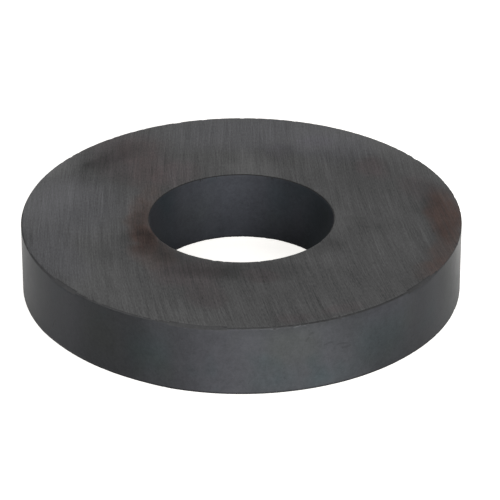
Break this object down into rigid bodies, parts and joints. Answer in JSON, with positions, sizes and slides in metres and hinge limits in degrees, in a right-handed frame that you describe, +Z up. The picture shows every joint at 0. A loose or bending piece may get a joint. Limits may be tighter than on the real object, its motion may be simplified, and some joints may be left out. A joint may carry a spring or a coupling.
{
  "type": "ring magnet",
  "caption": "Flat round ring magnet of bare sintered ferrite with a plain through bore, ground faces and a lightly chipped rim.",
  "frame": {"origin": "centre of the bottom face, on the axis of the bore", "axes": "+Z up along the bore axis, square to the two ground faces; the worn stretch of the top rim faces -Y"},
  "size_m": [0.06, 0.06, 0.01],
  "materials": {
    "ferrite": "bare sintered ferrite, satin; flat faces ground with fine lines, outer wall and bore as pressed"
  },
  "bodies": {
    "root": {"ferrite_ring": "ferrite"}
  },
  "joints": []
}
